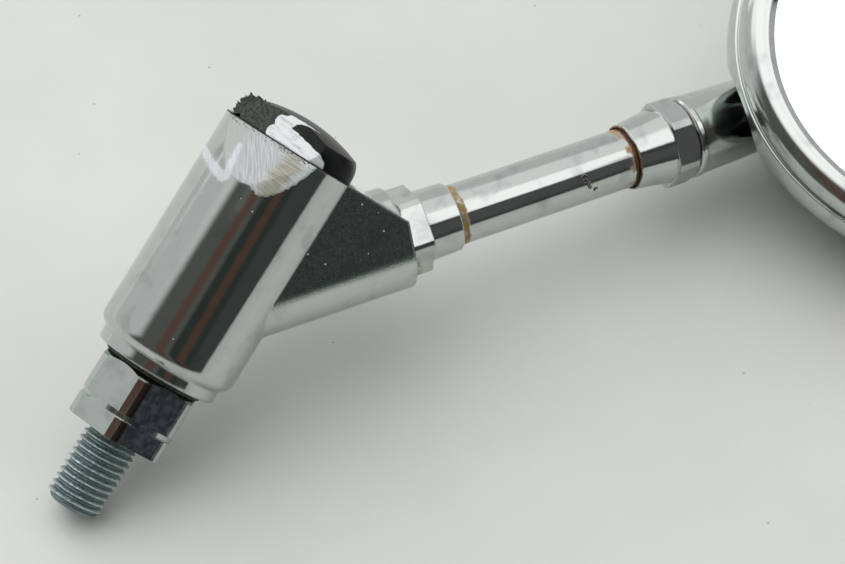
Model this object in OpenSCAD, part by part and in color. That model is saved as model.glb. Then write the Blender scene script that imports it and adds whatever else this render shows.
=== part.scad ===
// Motorcycle mirror with a break-away swivel, a bent arm and an oval head on a ball joint.
// Frame: +Z is the mounting stud's axis, the origin lies on the hex's seating face,
// +X is the side to which the arm leans, and the glass looks toward -Y.

/* [Mounting stud] */
// Diameter of the mounting thread
stud_d = 10; // [8:0.5:12]
// Length of the mounting thread below the hex
stud_len = 14.3; // [10:0.1:25]
// Chamfer at the thread's tip
stud_chamfer = 1.2; // [0.5:0.1:2]
// Width of the hex across its flats
hex_af = 17; // [16:0.5:20]
// Height of the hex
hex_h = 12; // [8:0.5:16]
// How far the hex's corners are turned down
hex_corner_cut = 0.5; // [0.2:0.1:0.8]
// Height of the left-hand-thread mark cut in the corners
mark_z = 4.2; // [3:0.1:6]
// Width of the left-hand-thread mark
mark_w = 1; // [0.6:0.1:1.5]
// Turn of the hex about the stud's axis
hex_turn = 1; // [0:1:59]
// Diameter of the shank inside the housing
shank_d = 10; // [9:0.5:10.5]
// Diameter of the thread for the spring nut
nut_thread_d = 8; // [6:0.5:8]

/* [Pivot housing] */
// Diameter of the housing's round body
body_d = 25; // [24:0.5:30]
// Length of the body from the collar to the cap's seam
body_len = 41; // [38:0.5:48]
// Diameter of the collar above the hex
collar_d = 22; // [20:0.5:23]
// Height of the collar
collar_h = 2.1; // [1.8:0.1:3]
// Rounding of the collar's lower edge
collar_round = 0.4; // [0.3:0.1:0.8]
// Height of the sloping shoulder between collar and body
shoulder_h = 1.4; // [1.2:0.1:2]
// Rounding of the body's lower edge
body_round = 2; // [1:0.1:2.5]
// Diameter of the spring chamber
chamber_d = 15.2; // [15.2:0.1:16]
// Thickness of the housing's floor, which is the bush's length
floor_t = 11.7; // [10:0.5:14]
// Thickness of the bush's wall
bush_t = 1.5; // [1:0.1:1.8]
// Thickness of the washer between hex and collar
friction_t = 0.8; // [0.5:0.1:1.5]
// Diameter of the washer between hex and collar
friction_d = 17.8; // [15:0.2:20]

/* [Pivot spring] */
// Diameter of the spring's wire
wire_d = 2; // [1.6:0.1:2]
// Turns of the spring
spring_turns = 4.5; // [4:0.5:5]
// Thickness of the washer under the spring
seat_t = 1.5; // [1:0.1:2]
// Thickness of the washer above the spring
washer_t = 1.6; // [1:0.1:2]
// Width of the spring nut across its flats
nut_af = 12; // [11:0.5:12.5]
// Height of the spring nut's hex
nut_h = 6.5; // [5:0.5:8]
// Height of the nut's locking ring
insert_h = 1.8; // [1:0.1:2.5]
// Length of thread that stands out of the nut
thread_over = 1.2; // [0.5:0.1:2]

/* [Cap] */
// Diameter of the cap
cap_d = 22.5; // [22:0.5:24.5]
// Height of the cap's dome
cap_h = 5.6; // [5:0.1:7]
// Rounding of the dome's edge
cap_round = 4.8; // [2.5:0.1:5.2]
// Radius of the dome's crown
cap_crown_r = 28; // [26:1:60]
// Length of the plug that presses into the chamber
plug_len = 4; // [3:0.1:5]
// Wall of the plug
plug_t = 1.3; // [1:0.1:1.6]

/* [Crash scrape] */
// Direction that the ground facet faces, about the stud's axis
scrape_turn = 222; // [200:1:240]
// Distance of the facet from the body's axis at the cap's seam
scrape_r = 8.7; // [8.4:0.1:12]
// Slope of the facet toward the top
scrape_tilt = 24; // [15:1:35]
// Direction that the shallower second facet faces
side_scrape_turn = 240; // [226:1:256]
// Distance of the second facet from the body's axis at the cap's seam
side_scrape_r = 11; // [10.4:0.1:12]
// Slope of the second facet toward the top
side_scrape_tilt = 10; // [5:1:15]

/* [Arm boss] */
// Height of the arm's axis above the collar's lower face
arm_up = 13.2; // [12:0.1:15]
// Angle of the arm above the horizontal
arm_rise = 46.5; // [42:0.5:52]
// Diameter of the arm boss
boss_d = 17.3; // [16:0.1:19]
// Width of the web across its two flat faces
web_w = 20.6; // [19.6:0.1:21.4]
// Distance from the stud's axis to the boss's end, along the arm
boss_end = 35.8; // [34:0.1:42]
// Depth of the threaded hole in the boss
boss_bore = 15.5; // [12:0.5:16]

/* [Lock nuts] */
// Width of the lock nuts' hexes across their flats
lock_af = 14; // [13.5:0.1:15]
// How far the hexes' corners are turned down
lock_corner_cut = 0.35; // [0.1:0.05:0.5]
// Height of the lower nut's hex
lower_hex_h = 4.7; // [4:0.1:7]
// Length of the lower nut's sleeve
lower_sleeve = 6.4; // [4:0.1:9]
// Diameter of the lower sleeve next to its hex
lower_sleeve_d = 12.5; // [12.4:0.1:13.5]
// Diameter of the lower sleeve at its mouth
lower_mouth_d = 12.1; // [12:0.1:12.4]
// Height of the upper nut's hex
upper_hex_h = 4.7; // [4:0.1:7]
// Length of the upper nut's sleeve
upper_sleeve = 7.2; // [5:0.1:10]
// Diameter of the upper sleeve next to its hex
upper_sleeve_d = 13.6; // [12.4:0.1:13.8]
// Diameter of the upper sleeve at its mouth
upper_mouth_d = 11.8; // [11.8:0.1:12.4]
// Turn of the lower hex about the arm
lower_hex_turn = 35; // [0:1:59]
// Turn of the upper hex about the arm
upper_hex_turn = 39; // [0:1:59]

/* [Arm] */
// Diameter of the arm
arm_d = 10.6; // [10.4:0.1:10.8]
// Length of the arm that shows between the nuts
arm_len = 34.4; // [30:0.1:60]
// Bend of the arm
arm_bend = 6; // [3:0.5:15]
// Direction of the bend about the arm's axis
bend_turn = 71; // [0:1:90]
// Diameter of the threads at both ends of the arm
arm_thread_d = 10; // [9:0.1:10.2]
// Length of the upper thread inside the neck
upper_thread = 8; // [6:0.5:9]

/* [Neck and ball] */
// Diameter of the neck next to the upper nut
neck_d = 14.9; // [14:0.1:16]
// Diameter of the neck next to the socket
neck_end_d = 13.6; // [12:0.1:14]
// Length of the neck
neck_len = 16.2; // [12:0.1:22]
// Diameter of the stem that carries the ball
stem_d = 6.8; // [6:0.1:6.8]
// Diameter of the ball
ball_d = 11.4; // [11.4:0.1:12.5]
// Distance from the neck's end to the ball's centre
ball_reach = 10.9; // [10.9:0.1:13]
// Wall of the plastic shells round the ball
seat_wall = 0.9; // [0.8:0.1:1.2]
// Largest tilt of the head each way on one axis
tilt_max = 10; // [6:1:10]

/* [Socket] */
// Smallest wall of the cup and of the ring round the ball
cup_wall = 1.2; // [1.2:0.1:2]
// Wall of the socket's barrel
barrel_t = 1.7; // [1.5:0.1:3]
// Distance from the ball's centre to the barrel's mouth
mouth_reach = 7.8; // [7.6:0.1:8.2]
// Thickness of the disc spring behind the cup
disc_t = 1.2; // [0.8:0.1:1.6]
// Thickness of the barrel's closed end
barrel_end_t = 2.2; // [1.5:0.1:4]
// Rounding of the barrel's closed end
barrel_round = 3; // [1:0.1:3.4]

/* [Mirror head] */
// Half the length of the head's outline
oval_a = 62; // [58:0.5:70]
// Half the width of the head's outline
oval_b = 45.1; // [42:0.1:48]
// Depth of the shell behind the bezel's seam
shell_depth = 18; // [16:0.5:24]
// Wall of the shell
shell_t = 2; // [1.5:0.1:3]
// How far back the shell is widest
bulge_z = 3; // [2:0.1:4]
// How far the shell stands out beyond the bezel
bulge_out = 0.9; // [0.5:0.1:1.5]
// Radius of the shell's side
side_round = 10; // [8:0.5:11]
// Distance of the ball from the head's end, along the head's length
ball_inset = 16.4; // [14:0.1:18]
// Place of the ball across the head, from its middle
ball_y = -0.6; // [-4:0.1:4]
// Depth of the ball behind the bezel's seam
ball_depth = 17.6; // [16.5:0.1:20]
// Angle between the neck and the head's long axis, seen from the front
socket_turn = 14.4; // [4:0.1:24]
// Angle between the neck and the glass
socket_dip = 11.1; // [8:0.1:14]
// Turn of the head about the neck
head_spin = -14.8; // [-40:0.1:30]

/* [Bezel and glass] */
// Width of the bezel ring, from its outer edge to the glass
bezel_w = 5.7; // [5:0.1:8]
// Height of the bezel ring's crown above its seam
bezel_h = 5; // [4.6:0.1:6]
// Radius of the bezel's rounded outside
bezel_round = 3.4; // [3:0.1:4]
// Width of the sloping lip next to the glass
lip_w = 1.6; // [1.2:0.1:2]
// Height of the glass's face above the seam
glass_z = 3.5; // [3.2:0.1:4]
// Thickness of the glass
glass_t = 3; // [2:0.1:3.2]
// How far the bezel's lip covers the glass
glass_cover = 1.1; // [0.8:0.1:1.5]
// Depth of the bezel's spigot inside the shell
spigot_z = 2; // [1.5:0.1:3]
// Width of the shelf that carries the pad
shelf_w = 5; // [3:0.5:8]

/* [Hidden] */
$fn = 96;
// Radial clearance of fixed fits such as threads
fixed_gap = 0.05;
// Radial clearance of faces that turn or slide on each other
run_gap = 0.03;
// How far cutting solids run past what they cut
past = 1;
// Chamfers and small steps at the ends of turned pieces
small_chamfer = 0.3;
// Lengthwise play at the ends of threads and inside the sleeves
end_play = 0.5;
chrome_color = "silver";
zinc_color = "slategray";
steel_color = "gray";

z_collar = hex_h + friction_t;
z_body = z_collar + collar_h;
z_seam = z_body + body_len;
z_floor = z_collar + floor_t;
z_arm = z_collar + arm_up;
stud_r = stud_d / 2;
shank_r = shank_d / 2;
nut_thread_r = nut_thread_d / 2;
body_r = body_d / 2;
collar_r = collar_d / 2;
chamber_r = chamber_d / 2;
boss_r = boss_d / 2;
web_r = web_w / 2;
bush_r = shank_r + run_gap + bush_t;

z_spring = z_floor + seat_t;
z_thread_top = z_seam - plug_len - 2 * fixed_gap;
z_insert = z_thread_top - thread_over - insert_h;
z_nut = z_insert - nut_h;
z_washer = z_nut - washer_t;
spring_len = z_washer - z_spring;
wire_r = wire_d / 2;
coil_r = (shank_r + chamber_r) / 2;
wire_sides = 10;
coil_steps = 20;
closed_turns = 0.75;
closed_pitch = wire_d * 1.06;

arm_r = arm_d / 2;
arm_thread_r = arm_thread_d / 2;
s_boss = boss_end;
s_sleeve = s_boss + lower_hex_h;
s_mouth = s_sleeve + lower_sleeve;
bend_r = arm_len / (arm_bend * PI / 180);
u_hex = upper_sleeve;
u_neck = u_hex + upper_hex_h;
u_neck_end = u_neck + neck_len;
u_ball = u_neck_end + ball_reach;
sleeve_wall_gap = 0.15;

ball_r = ball_d / 2;
stem_r = stem_d / 2;
seat_in_r = ball_r + run_gap;
seat_out_r = seat_in_r + seat_wall;
cup_in_r = seat_out_r + run_gap;
bore_r = cup_in_r + cup_wall;
cup_out_r = bore_r - fixed_gap;
barrel_r = bore_r + barrel_t;
cup_back = cup_in_r + cup_wall;
disc_back = cup_back + disc_t;
barrel_back = disc_back + fixed_gap + barrel_end_t;
// With both tilts at their limits the stem leans by this much
lean_max = acos(cos(tilt_max) * cos(tilt_max));
// Polar angles, from the far side of the ball, at which the two plastic shells end
rear_edge = 52;
front_edge = rear_edge + lean_max + 2;
stem_edge = 180 - asin(stem_r / ball_r) - lean_max - 2;
ring_front = mouth_reach - small_chamfer;
ring_back = 0.8;

ball_x = ball_inset - oval_a;
side_x = bulge_out - side_round;
// Angle below the horizontal at which the shell's side meets its back
side_end = 74;
side_steps = 6;
outline_steps = 72;
glass_inset = bezel_w - glass_cover;
spigot_out = shell_t + 2 * fixed_gap;
pad_inset = 1.5;
shelf_z = -spigot_z - 2 * fixed_gap;

// Turns the local Z axis into the arm's direction at the housing
module lower_arm() {
    translate([0, 0, z_arm]) rotate([0, 90 - arm_rise, 0]) children();
}

// Puts the origin at the upper end of the arm's bend, with Z along the arm there
module upper_arm() {
    lower_arm()
        translate([0, 0, s_mouth])
        rotate([0, 0, bend_turn])
        translate([bend_r * (1 - cos(arm_bend)), 0, bend_r * sin(arm_bend)])
        rotate([0, arm_bend, 0])
        children();
}

// Puts the origin at the ball's centre, with Z along the neck toward the socket's closed end
module ball_frame() {
    upper_arm() translate([0, 0, u_ball]) children();
}

// Puts the origin at the head's middle on the bezel's seam, with Z out of the glass
module head_frame() {
    ball_frame()
        rotate([0, 0, head_spin])
        rotate([0, -(90 + socket_dip), 0])
        rotate([0, 0, -socket_turn])
        translate([-ball_x, -ball_y, ball_depth])
        children();
}

// From the head's frame back to the socket's axis
module socket_in_head() {
    translate([ball_x, ball_y, -ball_depth])
        rotate([0, 0, socket_turn])
        rotate([0, 90 + socket_dip, 0])
        children();
}

// Ring or washer from z to z + h
module tube(outer, inner, z, h) {
    translate([0, 0, z])
        rotate_extrude()
        translate([inner, 0])
        square([outer - inner, h]);
}

// Hex bar with its corners turned down and chamfered at the ends that are asked for
module hex_bar(af, h, cut, low, high) {
    corner = af / sqrt(3);
    outer = corner - cut;
    face_r = af / 2 - small_chamfer;
    slope = (corner - face_r) * tan(30);
    intersection() {
        cylinder(r = corner, h = h, $fn = 6);
        rotate_extrude() polygon([
            [0, 0],
            [low ? face_r : outer, 0],
            [outer, low ? slope : 0],
            [outer, high ? h - slope : h],
            [high ? face_r : outer, h],
            [0, h]
        ]);
    }
}

// Half-space beyond a plane that faces turn, lies r from the axis at the seam and leans by tilt
module facet(turn, r, tilt) {
    side = 4 * body_d;
    translate([0, 0, z_seam])
        rotate([0, 0, turn])
        translate([r, 0, 0])
        rotate([0, -tilt, 0])
        translate([0, -side / 2, -side / 2])
        cube(side);
}

// What the crash ground away: two facets that meet in a blunt edge
module scrape() {
    facet(scrape_turn, scrape_r, scrape_tilt);
    facet(side_scrape_turn, side_scrape_r, side_scrape_tilt);
}

module pivot_stud() {
    color(zinc_color) difference() {
        union() {
            rotate_extrude() polygon([
                [0, -stud_len],
                [stud_r - stud_chamfer, -stud_len],
                [stud_r, -stud_len + stud_chamfer],
                [stud_r, hex_h / 2],
                [0, hex_h / 2]
            ]);
            rotate([0, 0, hex_turn]) hex_bar(hex_af, hex_h, hex_corner_cut, false, true);
            cylinder(r = shank_r, h = z_washer - end_play);
            cylinder(r = nut_thread_r, h = z_thread_top);
        }
        tube(hex_af, hex_af / 2 + 2 * fixed_gap, mark_z - mark_w / 2, mark_w);
    }
}

module friction_washer() {
    color("darkolivegreen") tube(friction_d / 2, shank_r + run_gap, hex_h, friction_t);
}

// Outline of the turned part of the housing, from its axis
module body_outline() {
    // Slope of the shoulder from the vertical, and where the rounding above it ends
    slope = atan((body_r - collar_r) / shoulder_h);
    edge_z = collar_h + shoulder_h + body_round * tan(slope / 2);
    union() {
        square([collar_r - collar_round, collar_h]);
        translate([0, collar_round]) square([collar_r, collar_h - collar_round]);
        translate([collar_r - collar_round, collar_round]) circle(collar_round);
        polygon([
            [0, collar_h],
            [collar_r, collar_h],
            [body_r - body_round + body_round * cos(slope), edge_z - body_round * sin(slope)],
            [body_r - body_round, edge_z],
            [body_r, edge_z],
            [body_r, collar_h + body_len],
            [0, collar_h + body_len]
        ]);
        translate([body_r - body_round, edge_z]) circle(body_round);
    }
}

// Outline of the web in the arm's frame: two flat faces down to the arm's axis, and below
// that an underside as deep as the boss with rounded edges
module web_outline() {
    rounding_y = web_r - boss_r;
    translate([-boss_end, -web_r]) square([boss_end, web_w]);
    translate([0, -rounding_y]) square([boss_r, 2 * rounding_y]);
    translate([0, rounding_y]) circle(boss_r);
    translate([0, -rounding_y]) circle(boss_r);
}

// Web between body and boss, with a top that is level with the body's
module web() {
    intersection() {
        lower_arm() linear_extrude(s_boss) web_outline();
        translate([0, -web_w, 0]) cube([2 * boss_end, 2 * web_w, z_seam]);
    }
}

// Upper half of the boss, which stands out of the web's top
module boss_top() {
    lower_arm() linear_extrude(s_boss) intersection() {
        circle(boss_r);
        translate([-boss_d, -boss_d]) square([boss_d, 2 * boss_d]);
    }
}

module pivot_housing() {
    color(chrome_color) difference() {
        union() {
            translate([0, 0, z_collar]) rotate_extrude() body_outline();
            web();
            boss_top();
        }
        translate([0, 0, z_collar - past]) cylinder(r = bush_r + fixed_gap, h = floor_t + 2 * past);
        translate([0, 0, z_floor]) cylinder(r = chamber_r, h = z_seam - z_floor + past);
        lower_arm() translate([0, 0, s_boss - boss_bore])
            cylinder(r = arm_thread_r + fixed_gap, h = boss_bore + past);
        scrape();
    }
}

module pivot_bush() {
    color("peru") tube(bush_r, shank_r + run_gap, z_collar, floor_t);
}

module spring_seat() {
    color(steel_color) tube(chamber_r - fixed_gap, shank_r + run_gap, z_floor, seat_t);
}

// Height of the coil's centre line after t turns, closed at both ends
function coil_z(t) =
    let (free_turns = spring_turns - 2 * closed_turns)
    let (free_rise = spring_len - wire_d - 2 * closed_turns * closed_pitch)
    t < closed_turns ? wire_r + t * closed_pitch :
    t < spring_turns - closed_turns
        ? wire_r + closed_turns * closed_pitch + (t - closed_turns) * free_rise / free_turns
        : spring_len - wire_r - (spring_turns - t) * closed_pitch;

module pivot_spring() {
    rings = floor(spring_turns * coil_steps);
    points = [
        for (i = [0:rings])
            for (j = [0:wire_sides - 1])
                let (turn = i / coil_steps, a = 360 * turn, b = 360 * j / wire_sides)
                    [
                        (coil_r + wire_r * cos(b)) * cos(a),
                        (coil_r + wire_r * cos(b)) * sin(a),
                        z_spring + coil_z(turn) + wire_r * sin(b)
                    ]
    ];
    sides = [
        for (i = [0:rings - 1])
            for (j = [0:wire_sides - 1])
                let (k = (j + 1) % wire_sides, a = i * wire_sides, b = a + wire_sides)
                    each [[a + j, a + k, b + k], [a + j, b + k, b + j]]
    ];
    first = [for (j = [1:wire_sides - 2]) [0, j + 1, j]];
    last_ring = rings * wire_sides;
    last = [for (j = [1:wire_sides - 2]) [last_ring, last_ring + j, last_ring + j + 1]];
    color(steel_color) polyhedron(points, [for (f = concat(sides, first, last)) [f[2], f[1], f[0]]]);
}

module spring_washer() {
    color(steel_color) tube(chamber_r - 4 * fixed_gap, nut_thread_r + fixed_gap, z_washer, washer_t);
}

module spring_nut() {
    color(zinc_color) difference() {
        translate([0, 0, z_nut]) hex_bar(nut_af, nut_h, hex_corner_cut, true, true);
        cylinder(r = nut_thread_r + fixed_gap, h = z_seam);
    }
}

module nut_insert() {
    collar_wall = 1.15;
    inner = nut_thread_r + fixed_gap;
    color("royalblue") tube(inner + collar_wall, inner, z_insert, insert_h);
}

// Half outline of the cap's dome, standing on the seam
module dome_outline() {
    r = cap_d / 2;
    intersection() {
        union() {
            square([r, cap_h - cap_round]);
            square([r - cap_round, cap_h]);
            translate([r - cap_round, cap_h - cap_round]) circle(cap_round);
        }
        translate([0, cap_h - cap_crown_r]) circle(cap_crown_r);
        square([r + past, cap_h + past]);
    }
}

module pivot_cap() {
    plug_r = chamber_r - fixed_gap;
    hollow_r = plug_r - plug_t;
    hollow_h = 1.5;
    color("black") difference() {
        union() {
            translate([0, 0, z_seam]) rotate_extrude() dome_outline();
            translate([0, 0, z_seam - plug_len]) cylinder(r = plug_r, h = plug_len + past);
        }
        translate([0, 0, z_seam - plug_len - past]) cylinder(r = hollow_r, h = plug_len + past + hollow_h);
        scrape();
    }
}

module lower_lock_nut() {
    color(chrome_color) lower_arm() difference() {
        union() {
            translate([0, 0, s_boss])
                rotate([0, 0, lower_hex_turn])
                hex_bar(lock_af, lower_hex_h, lock_corner_cut, true, false);
            translate([0, 0, s_sleeve]) rotate_extrude() polygon([
                [0, -past],
                [lower_sleeve_d / 2, -past],
                [lower_sleeve_d / 2, 0],
                [lower_mouth_d / 2, lower_sleeve - small_chamfer],
                [lower_mouth_d / 2 - small_chamfer, lower_sleeve],
                [0, lower_sleeve]
            ]);
        }
        translate([0, 0, s_boss - past]) cylinder(r = arm_thread_r + fixed_gap, h = lower_hex_h + 2 * past);
        translate([0, 0, s_sleeve]) cylinder(r = arm_r + sleeve_wall_gap, h = lower_sleeve + past);
    }
}

// The bend runs on a little way into both sleeves, and the straight threads start inside it
module arm_rod() {
    in_lower = (lower_sleeve - end_play) / bend_r * 180 / PI;
    in_upper = (upper_sleeve - end_play) / bend_r * 180 / PI;
    thread_start = s_boss - boss_bore + end_play;
    color(chrome_color) {
        lower_arm() {
            translate([0, 0, thread_start])
                cylinder(r = arm_thread_r, h = s_sleeve + end_play + past - thread_start);
            translate([0, 0, s_mouth])
                rotate([0, 0, bend_turn])
                translate([bend_r, 0, 0])
                rotate([90, 0, 180])
                rotate([0, 0, -in_lower])
                rotate_extrude(angle = in_lower + arm_bend + in_upper)
                translate([bend_r, 0])
                circle(arm_r);
        }
        upper_arm() translate([0, 0, u_hex - end_play - past])
            cylinder(r = arm_thread_r, h = upper_hex_h + end_play + past + upper_thread);
    }
}

module upper_lock_nut() {
    color(chrome_color) upper_arm() difference() {
        union() {
            rotate_extrude() polygon([
                [0, 0],
                [upper_mouth_d / 2 - small_chamfer, 0],
                [upper_mouth_d / 2, small_chamfer],
                [upper_sleeve_d / 2, u_hex],
                [upper_sleeve_d / 2, u_hex + past],
                [0, u_hex + past]
            ]);
            translate([0, 0, u_hex])
                rotate([0, 0, upper_hex_turn])
                hex_bar(lock_af, upper_hex_h, lock_corner_cut, false, true);
        }
        translate([0, 0, -past]) cylinder(r = arm_r + sleeve_wall_gap, h = u_hex + past);
        cylinder(r = arm_thread_r + fixed_gap, h = u_neck + past);
    }
}

module ball_stem() {
    neck_r = neck_d / 2;
    end_r = neck_end_d / 2;
    band_w = 1.1;
    band_step = 0.15;
    end_chamfer = 0.8;
    color(chrome_color) upper_arm() difference() {
        union() {
            rotate_extrude() polygon([
                [0, u_neck],
                [neck_r - small_chamfer, u_neck],
                [neck_r, u_neck + small_chamfer],
                [neck_r, u_neck + band_w],
                [neck_r - band_step, u_neck + band_w + band_step],
                [end_r, u_neck_end - end_chamfer],
                [end_r - end_chamfer, u_neck_end],
                [stem_r, u_neck_end],
                [stem_r, u_ball],
                [0, u_ball]
            ]);
            translate([0, 0, u_ball]) sphere(ball_r);
        }
        translate([0, 0, u_neck - past])
            cylinder(r = arm_thread_r + fixed_gap, h = upper_thread + past + end_play);
    }
}

// Part of a spherical shell between two polar angles, counted from +Z
module shell_zone(outer, inner, from, to) {
    far = 3 * outer;
    rotate_extrude() intersection() {
        difference() {
            circle(outer);
            circle(inner);
        }
        polygon([
            [0, 0],
            [far * sin(from), far * cos(from)],
            [far * sin((from + to) / 2), far * cos((from + to) / 2)],
            [far * sin(to), far * cos(to)]
        ]);
    }
}

module rear_ball_seat() {
    color("ivory") ball_frame() shell_zone(seat_out_r, seat_in_r, 0, rear_edge);
}

module front_ball_seat() {
    color("ivory") ball_frame() shell_zone(seat_out_r, seat_in_r, front_edge, stem_edge);
}

module thrust_cup() {
    color(steel_color) ball_frame() difference() {
        translate([0, 0, small_chamfer]) cylinder(r = cup_out_r, h = cup_back - small_chamfer);
        sphere(cup_in_r);
    }
}

module seat_spring() {
    inner = ball_r / 2;
    outer = cup_out_r - small_chamfer;
    thick = 0.5;
    rise = disc_t - thick;
    color(zinc_color) ball_frame() translate([0, 0, cup_back]) rotate_extrude() polygon([
        [inner, rise],
        [outer, 0],
        [outer, thick],
        [inner, disc_t]
    ]);
}

module socket_ring() {
    // The ring's hole is a cylinder next to the ball, then widens as the stem leans
    waist = 4.6;
    lean_room = 0.4;
    hole_in = stem_r / cos(lean_max) + waist * tan(lean_max);
    hole_out = stem_r / cos(lean_max) + (mouth_reach + lean_room) * tan(lean_max);
    color(zinc_color) ball_frame() difference() {
        translate([0, 0, -ring_front]) cylinder(r = cup_out_r, h = ring_front - ring_back);
        sphere(cup_in_r);
        rotate_extrude() polygon([
            [0, -mouth_reach],
            [hole_out, -mouth_reach],
            [hole_in, -waist],
            [hole_in, 0],
            [0, 0]
        ]);
    }
}

// Outline of the head in its own plane, moved outward by off
module oval(off) {
    polygon([for (i = [0:outline_steps - 1])
        let (t = 360 * i / outline_steps)
            [(oval_a + off) * cos(t), (oval_b + off) * sin(t)]]);
}

// Solid whose cross-sections are ovals. Each ring is [offset, factor, z]: the outline moved
// outward by the offset, then scaled toward the middle. A closed one joins its last ring
// to its first, and an open one is capped at both ends.
module oval_loft(rings, closed) {
    count = len(rings);
    n = outline_steps;
    points = [
        for (ring = rings)
            for (i = [0:n - 1])
                let (t = 360 * i / n)
                    [ring[1] * (oval_a + ring[0]) * cos(t), ring[1] * (oval_b + ring[0]) * sin(t), ring[2]]
    ];
    sides = [
        for (k = [0:closed ? count - 1 : count - 2])
            for (i = [0:n - 1])
                let (a = k * n, b = ((k + 1) % count) * n, j = (i + 1) % n)
                    each [[a + i, a + j, b + j], [a + i, b + j, b + i]]
    ];
    caps = closed ? [] : [
        [for (i = [0:n - 1]) n - 1 - i],
        [for (i = [0:n - 1]) (count - 1) * n + i]
    ];
    polyhedron(points, [for (f = concat(sides, caps)) [for (i = [len(f) - 1:-1:0]) f[i]]]);
}

// Rings of one side of the shell, from its back to its rim, drawn smaller by inset
function shell_rings(inset, low_z) =
    let (r = side_round - inset)
    let (meet_x = side_x + r * cos(side_end), meet_z = -bulge_z - r * sin(side_end))
    let (back_z = inset - shell_depth)
    concat(
        [for (k = [0.2:0.2:0.9]) [meet_x, k, back_z + (meet_z - back_z) * k * k]],
        [for (i = [0:side_steps])
            let (a = -side_end + i * (side_end + asin((low_z + bulge_z) / r)) / side_steps)
                [side_x + r * cos(a), 1, -bulge_z + r * sin(a)]]
    );

module mirror_shell() {
    cut_len = 30;
    inner = shell_rings(shell_t, shelf_z - shell_t);
    rings = concat(
        shell_rings(0, 0),
        [
            [-spigot_out + fixed_gap, 1, 0],
            [-spigot_out + fixed_gap, 1, shelf_z],
            [-spigot_out - shelf_w, 1, shelf_z],
            [-spigot_out - shelf_w, 1, shelf_z - shell_t]
        ],
        [for (i = [len(inner) - 1:-1:0]) inner[i]]
    );
    // Next to the neck the hole widens by as much as the neck can lean
    neck_room = (neck_d / 2 + run_gap) / cos(lean_max);
    far = mouth_reach + cut_len;
    color(chrome_color) head_frame() difference() {
        oval_loft(rings, false);
        socket_in_head() union() {
            translate([0, 0, -far])
                cylinder(r = barrel_r + fixed_gap, h = far + barrel_back + fixed_gap);
            translate([0, 0, -far])
                cylinder(r1 = neck_room + far * tan(lean_max), r2 = neck_room, h = far);
        }
    }
}

// Half outline of the barrel, with its closed end rounded
module barrel_outline() {
    translate([0, -mouth_reach]) square([barrel_r - small_chamfer, mouth_reach]);
    translate([0, small_chamfer - mouth_reach])
        square([barrel_r, mouth_reach - small_chamfer + barrel_back - barrel_round]);
    square([barrel_r - barrel_round, barrel_back]);
    translate([barrel_r - barrel_round, barrel_back - barrel_round]) circle(barrel_round);
}

module ball_socket() {
    color(chrome_color) ball_frame() difference() {
        rotate_extrude() intersection() {
            barrel_outline();
            translate([0, -mouth_reach]) square([2 * barrel_r, mouth_reach + barrel_back]);
        }
        translate([0, 0, -mouth_reach - past])
            cylinder(r = bore_r, h = mouth_reach + past + disc_back + fixed_gap);
    }
}

module glass_pad() {
    color("dimgray") head_frame() translate([0, 0, shelf_z])
        linear_extrude(glass_z - glass_t - shelf_z)
        oval(-glass_inset - pad_inset);
}

module mirror_glass() {
    color("lightsteelblue") head_frame() translate([0, 0, glass_z - glass_t])
        linear_extrude(glass_t)
        oval(-glass_inset - fixed_gap);
}

// The bezel: rounded outside, sloping lip over the glass, and a spigot inside the shell
module bezel_ring() {
    round_z = bezel_h - bezel_round;
    crown_drop = 0.15;
    lip_drop = 0.6;
    rings = concat(
        [
            [-glass_inset, 1, -spigot_z],
            [-spigot_out, 1, -spigot_z],
            [-spigot_out, 1, 0],
            [-small_chamfer, 1, 0],
            [0, 1, small_chamfer]
        ],
        [for (a = [0:12:90]) [-bezel_round + bezel_round * cos(a), 1, round_z + bezel_round * sin(a)]],
        [
            [-bezel_w + lip_w, 1, bezel_h - crown_drop],
            [-bezel_w + lip_w - small_chamfer, 1, bezel_h - lip_drop],
            [-bezel_w, 1, glass_z + small_chamfer],
            [-bezel_w, 1, glass_z],
            [-glass_inset, 1, glass_z]
        ]
    );
    color(chrome_color) head_frame() oval_loft(rings, true);
}

pivot_stud();
friction_washer();
pivot_housing();
pivot_bush();
spring_seat();
pivot_spring();
spring_washer();
spring_nut();
nut_insert();
pivot_cap();
lower_lock_nut();
arm_rod();
upper_lock_nut();
ball_stem();
rear_ball_seat();
front_ball_seat();
thrust_cup();
seat_spring();
socket_ring();
ball_socket();
mirror_shell();
glass_pad();
mirror_glass();
bezel_ring();
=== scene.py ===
# %% [markdown]
# # A motorcycle mirror, taken off its bike
#
# This lesson dresses a chromed motorcycle mirror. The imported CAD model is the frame: it says where
# each part sits and what moves. Blender adds what the solids leave out: the mounting thread, the
# smooth oval of the head, the ragged edge of the crash scrape, and the finish of every surface.
# Run the cells in order. Each one prints what it made.

import math
import random

import bmesh
import bpy
from mathutils import Matrix, Vector


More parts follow.
